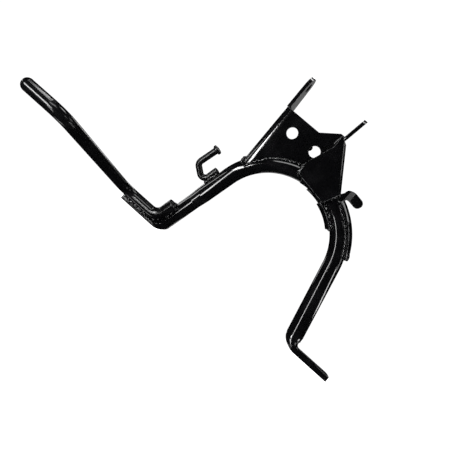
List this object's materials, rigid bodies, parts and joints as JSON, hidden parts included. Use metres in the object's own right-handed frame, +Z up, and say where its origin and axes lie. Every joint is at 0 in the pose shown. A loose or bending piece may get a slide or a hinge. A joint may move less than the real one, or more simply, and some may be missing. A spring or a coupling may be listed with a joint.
{
  "type": "motorcycle centre stand",
  "caption": "Bent-tube centre stand with pressed feet, folded pivot bracket, welded gusset, foot lever and spring hook, gloss black paint over steel",
  "frame": {"origin": "on the pivot axis, between the two ears of the bracket, 38.6 mm from the outer face of the left ear", "axes": "+X along the pivot axis to the bike's right, +Y forward and away from the viewer, +Z up, with the stand in its parked position"},
  "size_m": [0.4731, 0.1969, 0.2642],
  "materials": {
    "gloss_paint": "gloss",
    "weld_paint": "gloss, rippled bead"
  },
  "bodies": {
    "root": {"main_tube": "gloss_paint", "pivot_bracket": "gloss_paint", "front_gusset": "gloss_paint", "inner_strap": "gloss_paint", "outer_rib": "gloss_paint", "guide_tab": "gloss_paint", "stop_lug": "gloss_paint", "pedal_lever": "gloss_paint", "spring_hook": "gloss_paint", "flange_weld": "weld_paint", "gusset_weld_left": "weld_paint", "gusset_weld_low": "weld_paint", "hook_weld_front": "weld_paint", "hook_weld_rear": "weld_paint", "lever_foot_weld_low": "weld_paint", "lever_foot_weld_top": "weld_paint", "lever_leg_weld_front": "weld_paint", "lever_leg_weld_rear": "weld_paint", "lever_nook_weld": "weld_paint", "lug_weld": "weld_paint", "rib_weld_front": "weld_paint", "rib_weld_rear": "weld_paint", "strap_weld": "weld_paint", "strap_weld_end": "weld_paint", "tab_weld": "weld_paint", "web_weld_front": "weld_paint", "web_weld_rear": "weld_paint"}
  },
  "joints": []
}
